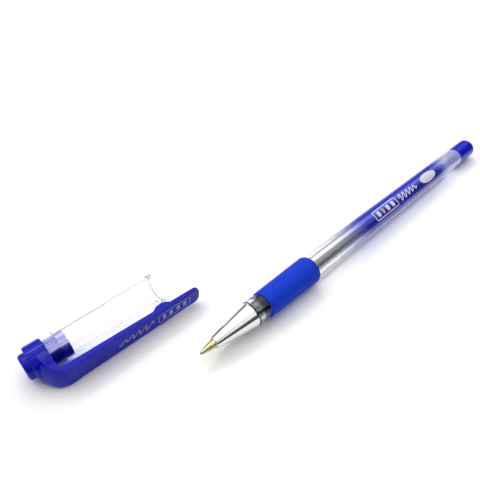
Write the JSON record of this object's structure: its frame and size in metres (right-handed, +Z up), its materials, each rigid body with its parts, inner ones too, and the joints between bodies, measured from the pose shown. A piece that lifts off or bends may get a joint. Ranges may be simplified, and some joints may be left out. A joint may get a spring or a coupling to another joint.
{
  "type": "gel pen",
  "caption": "Clear-barrelled writing pen with a blue rubber grip and a chrome nose cone, open, its clear cap with a long blue clip lying beside it.",
  "frame": {"origin": "bottom centre of the box around pen and cap, on the surface that they lie on", "axes": "+X from the writing tip towards the end plug, +Y from the pen towards the cap, +Z up"},
  "size_m": [0.1786, 0.0354, 0.0096],
  "materials": {
    "clear_barrel": "clear, tinted towards the middle",
    "grip_rubber": "soft matte",
    "blue_plastic": "gloss",
    "chrome_plating": "polished",
    "hard_metal": "polished",
    "brass_point": "turned",
    "milky_plastic": "translucent",
    "blue_ink": "wet",
    "clear_grease": "wet",
    "clear_cap": "clear",
    "frosted_blue": "translucent"
  },
  "bodies": {
    "pen": {"barrel": "clear_barrel", "grip_sleeve": "grip_rubber", "end_plug": "blue_plastic"},
    "refill": {"brass_point": "brass_point", "tip_holder": "milky_plastic", "refill_tube": "milky_plastic", "ink_column": "blue_ink", "ink_follower": "clear_grease"},
    "ball": {"writing_ball": "hard_metal"},
    "nose": {"nose_cone": "chrome_plating"},
    "cap": {"cap_tube": "clear_cap", "cap_liner": "frosted_blue", "cap_crown": "blue_plastic"},
    "clip": {"pocket_clip": "blue_plastic"}
  },
  "joints": [
    {"name": "refill_draw", "type": "slide", "parent": "pen", "child": "refill", "axis": [-1, 0, 0.0076], "range_m": [0, 0.108]},
    {"name": "nose_cone_off", "type": "slide", "parent": "refill", "child": "nose", "axis": [-1, 0, 0.0076], "range_m": [0, 0.03]},
    {"name": "ball_roll", "type": "hinge", "parent": "refill", "child": "ball", "pos_m": [-0.05531, -0.01335, 0.00467], "axis": [0, 1, 0], "continuous": true},
    {"name": "cap_push", "type": "slide", "parent": "pen", "child": "cap", "axis": [0.9996, -0.0279, 0], "range_m": [-0.0049, 0.0173]},
    {"name": "clip_flex", "type": "hinge", "parent": "cap", "child": "clip", "pos_m": [-0.07952, 0.0038, 0.00374], "axis": [0.0033, 0.1184, -0.993], "range_deg": [0, 5], "stiffness_Nm_per_rad": 0.27}
  ]
}
